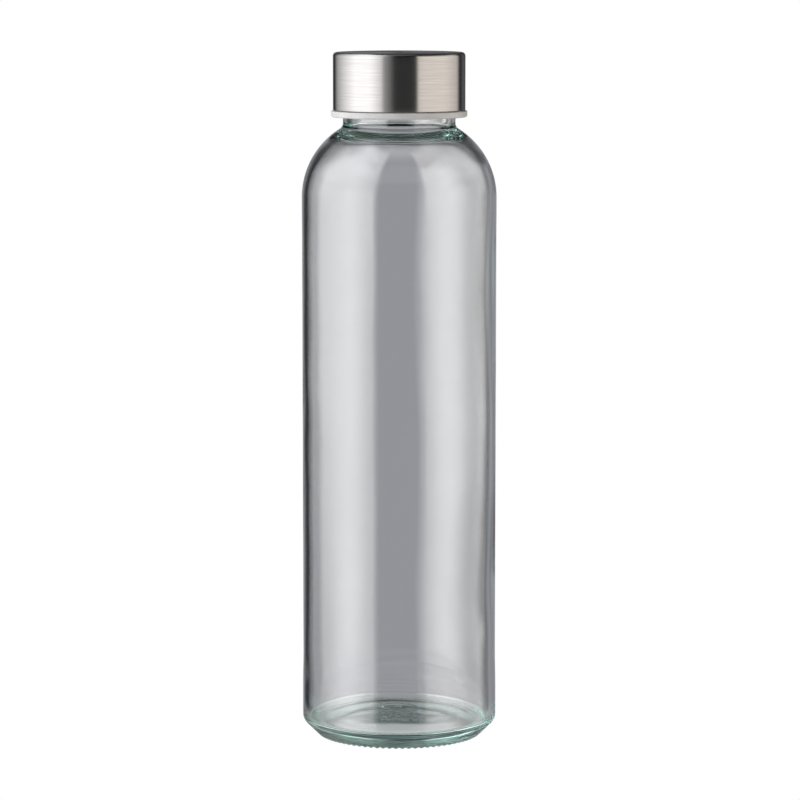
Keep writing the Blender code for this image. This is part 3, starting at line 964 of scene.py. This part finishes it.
def build_world():
    """The studio; the camera itself sees plain white."""
    world = bpy.data.worlds.new("soft_studio")
    bpy.context.scene.world = world
    studio = Studio(world)
    sharp = studio.sharp
    left = studio.blend(sharp, studio.left_for_lid(), studio.left_for_glass())
    right = studio.blend(sharp, studio.right_for_lid(), studio.right_for_glass())
    bright = studio.mix(studio.top, low=(3.25, 3.20, 3.25), high=(4.10, 4.05, 4.12))
    left_light = studio.mix(sharp, low=(2.98, 2.95, 2.97), high=bright)
    right_light = studio.mix(sharp, low=(2.00, 1.84, 1.70), high=(2.50, 2.36, 2.28))
    room = studio.mix(left, low=studio.room(), high=left_light)
    room = studio.mix(right, low=room, high=right_light)
    lit = studio.shader("ShaderNodeBackground", {"Color": room})
    white = studio.shader("ShaderNodeBackground", {"Color": (1.0, 1.0, 1.0, 1.0)})
    surface = studio.shader("ShaderNodeMixShader", {0: studio.camera_ray, 1: lit, 2: white})
    studio.output("World", Surface=surface)


def square(name, half, z, mat):
    """A level square on the axis, in metres, that casts no shadow."""
    mesh = bpy.data.meshes.new(name)
    corners = [(-half, -half, z), (half, -half, z), (half, half, z), (-half, half, z)]
    mesh.from_pydata(corners, [], [(0, 1, 2, 3)])
    obj = add_object(name, mesh)
    mesh.materials.append(mat)
    obj.visible_diffuse = False
    obj.visible_shadow = False
    return obj


def floor_material():
    mat, nodes = new_material("pale_floor")
    nodes.output(Surface=nodes.shader("ShaderNodeEmission", {"Color": (1.0, 1.0, 1.0, 1.0)}))
    return mat


def table_material():
    """A glowing patch of painted light: a painted sheen of the lights in front and on each side,
    a painted reflection of the dark gap between the lights down the middle, and a painted fade to
    dark further out.
    """
    mat, nodes = new_material("painted_light_table")
    x, y, _ = nodes.split(nodes.coords())
    distance = nodes.math(
        "SQRT", nodes.math("ADD", nodes.product(x, x), nodes.product(y, y))
    )
    # painted reflection of the dark gap between the lights, lighter towards the back
    painted_gap_reflection = nodes.mix(
        nodes.rise(y, start=0.013, end=0.032),
        low=(0.145, 0.184, 0.175), high=(0.36, 0.36, 0.365),
    )
    gap_shift = 0.0005  # how far the gap's middle lies towards -X
    from_gap = nodes.math("ABSOLUTE", nodes.math("ADD", x, gap_shift))
    # where the painted sheen of the lights lies: beside the gap and in front
    beside = nodes.rise(from_gap, start=0.0065, end=0.0150)
    front = nodes.rise(y, start=-0.0050, end=-0.0105)
    # the painted reflection of the gap shows to a camera near the level of the table, not to one
    # above it
    tilt = nodes.split(nodes.camera_forward())[2]
    above = nodes.rise(tilt, start=-0.18, end=-0.30)
    painted_sheen = nodes.math("MAXIMUM", nodes.math("MAXIMUM", beside, front), above)
    painted_sheen_colour = nodes.mix(front, low=(0.56, 0.56, 0.57), high=(0.62, 0.62, 0.63))
    colour = nodes.mix(painted_sheen, low=painted_gap_reflection, high=painted_sheen_colour)
    # the painted pool of light fades to dark further from the bottle
    colour = nodes.mix(
        nodes.rise(distance, start=0.045, end=0.130), low=colour, high=(0.125, 0.140, 0.140)
    )
    glow = nodes.shader("ShaderNodeEmission", {"Color": colour})
    # seen only from above: rays that skim it carry on to the sweep
    clear = nodes.shader("ShaderNodeBsdfTransparent")
    steep = nodes.split(nodes.new("ShaderNodeNewGeometry").outputs["Incoming"])[2]
    seen = nodes.rise(steep, start=0.25, end=0.34)
    nodes.output(Surface=nodes.shader("ShaderNodeMixShader", {0: seen, 1: clear, 2: glow}))
    return mat


def build_floor():
    """A plain white floor for the camera, and just under it a glowing patch of
    table round the bottle's foot, painted with light and shade, that the glass refracts."""
    floor = square("floor", half=3.0, z=-0.0001, mat=floor_material())
    floor.visible_glossy = False
    floor.visible_transmission = False
    # a glowing patch painted with the lights' sheen and shade; only the glass sees it
    patch = square("painted_light_table", half=0.135, z=-0.0002, mat=table_material())
    patch.visible_camera = False
    patch.visible_glossy = False


def build_camera():
    """A long lens in front of the bottle, looking 7.2 degrees down."""
    pitch = math.radians(7.2)
    reach = 1135.7  # from the point looked at
    aim_x, aim_z = 0.26, 109.6
    cam = bpy.data.cameras.new("camera")
    cam.sensor_width = 36.0
    cam.lens = 157.5
    cam.clip_start, cam.clip_end = 0.05, 50.0
    obj = add_object("camera", cam)
    obj.location = (
        aim_x * MM,
        -reach * math.cos(pitch) * MM,
        (aim_z + reach * math.sin(pitch)) * MM,
    )
    obj.rotation_euler = (math.pi / 2 - pitch, 0.0, 0.0)
    bpy.context.scene.camera = obj


# ------------------------------------------------------------------- build
def dress(obj, mat, body, node):
    obj.data.materials.clear()
    obj.data.materials.append(mat)
    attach(obj, body)
    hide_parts(node)


dress(build_glass(), glass_material(), "bottle", "glass_bottle")
dress(build_steel(), steel_material(), "lid", "lid_steel_shell")
dress(build_liner(), liner_material(), "lid", "lid_liner")
dress(build_gasket(), gasket_material(), "seal", "lid_gasket")
build_world()
build_floor()
build_camera()

scene = bpy.context.scene
scene.view_settings.view_transform = "Standard"
scene.view_settings.look = "None"
scene.cycles.max_bounces = 24
scene.cycles.transmission_bounces = 24
scene.cycles.glossy_bounces = 12
